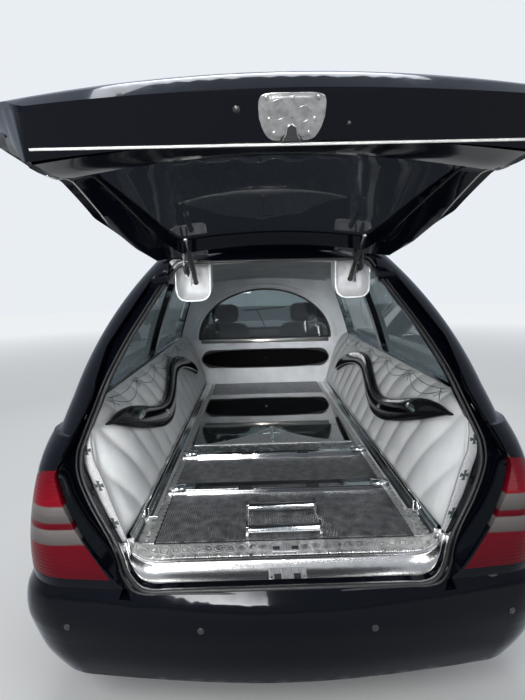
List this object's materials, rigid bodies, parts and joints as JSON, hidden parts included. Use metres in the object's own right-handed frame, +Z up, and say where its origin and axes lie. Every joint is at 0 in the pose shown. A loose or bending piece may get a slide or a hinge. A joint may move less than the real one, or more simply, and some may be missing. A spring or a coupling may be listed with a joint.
{
  "type": "hearse",
  "caption": "Black estate hearse with a raised tailgate, glazed load space, padded sides and a flat coffin deck.",
  "frame": {"origin": "on the ground under the middle of the overall box, tailgate open", "axes": "+X forward, +Y to the car's left, +Z up"},
  "size_m": [6.4196, 2.1, 1.9662],
  "materials": {
    "body_paint": "gloss",
    "glass": "tinted",
    "lamp_glass": "clear",
    "red_lamp": "gloss",
    "chrome": "polished",
    "steel_strip": "brushed",
    "black_steel": "satin",
    "rod_steel": "ground",
    "cast_engine": "cast",
    "grey_trim": "matte",
    "white_trim": "satin",
    "deck_panel": "gloss",
    "white_leather": "satin",
    "gloss_black": "gloss",
    "seat_leather": "satin",
    "dash_plastic": "matte",
    "tyre": "matte",
    "alloy": "satin"
  },
  "bodies": {
    "body": {"axles": "black_steel", "bulkhead": "black_steel", "dashboard": "dash_plastic", "deck": "deck_panel", "deck_fittings": "steel_strip", "engine": "cast_engine", "exhaust": "black_steel", "floor_pan": "black_steel", "front_bumper": "body_paint", "front_wings": "body_paint", "grille": "chrome", "headlamps": "lamp_glass", "headlining": "grey_trim", "hinge_covers": "white_trim", "hinge_mounts": "black_steel", "partition": "grey_trim", "partition_glass": "glass", "rear_bumper": "body_paint", "roof": "body_paint", "scroll_arms": "gloss_black", "seats": "seat_leather", "side_cushions": "white_leather", "side_left": "body_paint", "side_right": "body_paint", "side_windows": "glass", "sill_tray": "steel_strip", "steering_column": "dash_plastic", "tail_lamps": "red_lamp", "wheel_houses": "black_steel", "windscreen": "glass"},
    "tailgate": {"tailgate": "body_paint", "tailgate_glass": "glass", "tailgate_arms": "black_steel"},
    "bonnet": {"bonnet": "body_paint"},
    "door_left": {"door_left": "body_paint", "door_glass_left": "glass"},
    "door_right": {"door_right": "body_paint", "door_glass_right": "glass"},
    "strut_tube_left": {"strut_tube_left": "black_steel"},
    "strut_tube_right": {"strut_tube_right": "black_steel"},
    "strut_rod_left": {"strut_rod_left": "rod_steel"},
    "strut_rod_right": {"strut_rod_right": "rod_steel"},
    "knuckle_left": {"knuckle_left": "black_steel"},
    "knuckle_right": {"knuckle_right": "black_steel"},
    "steering_wheel": {"steering_wheel": "dash_plastic"},
    "wheel_rear_left": {"tyre_rear_left": "tyre", "rim_rear_left": "alloy"},
    "wheel_rear_right": {"tyre_rear_right": "tyre", "rim_rear_right": "alloy"},
    "wheel_front_left": {"tyre_front_left": "tyre", "rim_front_left": "alloy"},
    "wheel_front_right": {"tyre_front_right": "tyre", "rim_front_right": "alloy"}
  },
  "joints": [
    {"name": "tailgate_hinge", "type": "hinge", "parent": "body", "child": "tailgate", "pos_m": [-1.93855, 0, 1.58], "axis": [0, 1, 0], "range_deg": [-66, 0]},
    {"name": "bonnet_hinge", "type": "hinge", "parent": "body", "child": "bonnet", "pos_m": [1.84645, 0, 0.988], "axis": [0, -1, 0], "range_deg": [0, 50]},
    {"name": "door_left_hinge", "type": "hinge", "parent": "body", "child": "door_left", "pos_m": [1.67045, 0.891, 0.7], "axis": [0, 0, -1], "range_deg": [0, 65]},
    {"name": "door_right_hinge", "type": "hinge", "parent": "body", "child": "door_right", "pos_m": [1.67045, -0.891, 0.7], "axis": [0, 0, 1], "range_deg": [0, 65]},
    {"name": "steering_left", "type": "hinge", "parent": "body", "child": "knuckle_left", "pos_m": [2.30645, 0.69, 0.327], "axis": [0, 0, 1], "range_deg": [-32, 32]},
    {"name": "steering_right", "type": "hinge", "parent": "body", "child": "knuckle_right", "pos_m": [2.30645, -0.69, 0.327], "axis": [0, 0, 1], "range_deg": [-32, 32]},
    {"name": "steering_wheel_turn", "type": "hinge", "parent": "body", "child": "steering_wheel", "pos_m": [1.28645, 0.37, 0.88], "axis": [-0.9135, 0, 0.4067], "range_deg": [-480, 480]},
    {"name": "wheel_rear_left_spin", "type": "hinge", "parent": "body", "child": "wheel_rear_left", "pos_m": [-1.64355, 0.772, 0.327], "axis": [0, 1, 0], "continuous": true},
    {"name": "wheel_rear_right_spin", "type": "hinge", "parent": "body", "child": "wheel_rear_right", "pos_m": [-1.64355, -0.772, 0.327], "axis": [0, 1, 0], "continuous": true},
    {"name": "wheel_front_left_spin", "type": "hinge", "parent": "knuckle_left", "child": "wheel_front_left", "pos_m": [2.30645, 0.772, 0.327], "axis": [0, 1, 0], "continuous": true},
    {"name": "wheel_front_right_spin", "type": "hinge", "parent": "knuckle_right", "child": "wheel_front_right", "pos_m": [2.30645, -0.772, 0.327], "axis": [0, 1, 0], "continuous": true},
    {"name": "strut_left_swing", "type": "hinge", "parent": "body", "child": "strut_tube_left", "pos_m": [-1.97155, 0.347, 1.532], "axis": [0, 1, 0], "range_deg": [-73.79, 0.01]},
    {"name": "strut_left_slide", "type": "slide", "parent": "strut_tube_left", "child": "strut_rod_left", "axis": [-0.8729, 0, 0.4878], "range_m": [-0.04721, 0.0001]},
    {"name": "strut_right_swing", "type": "hinge", "parent": "body", "child": "strut_tube_right", "pos_m": [-1.97155, -0.347, 1.532], "axis": [0, 1, 0], "range_deg": [-73.79, 0.01]},
    {"name": "strut_right_slide", "type": "slide", "parent": "strut_tube_right", "child": "strut_rod_right", "axis": [-0.8729, 0, 0.4878], "range_m": [-0.04721, 0.0001]}
  ],
  "couplings": [
    {"joint": "steering_right", "follows": "steering_left", "ratio": 1},
    {"joint": "steering_wheel_turn", "follows": "steering_left", "ratio": 15},
    {"joint": "strut_left_swing", "follows": "tailgate_hinge", "ratio": 1.1179},
    {"joint": "strut_left_slide", "follows": "tailgate_hinge", "m_per_rad": 0.040898},
    {"joint": "strut_right_swing", "follows": "tailgate_hinge", "ratio": 1.1179},
    {"joint": "strut_right_slide", "follows": "tailgate_hinge", "m_per_rad": 0.040898}
  ]
}
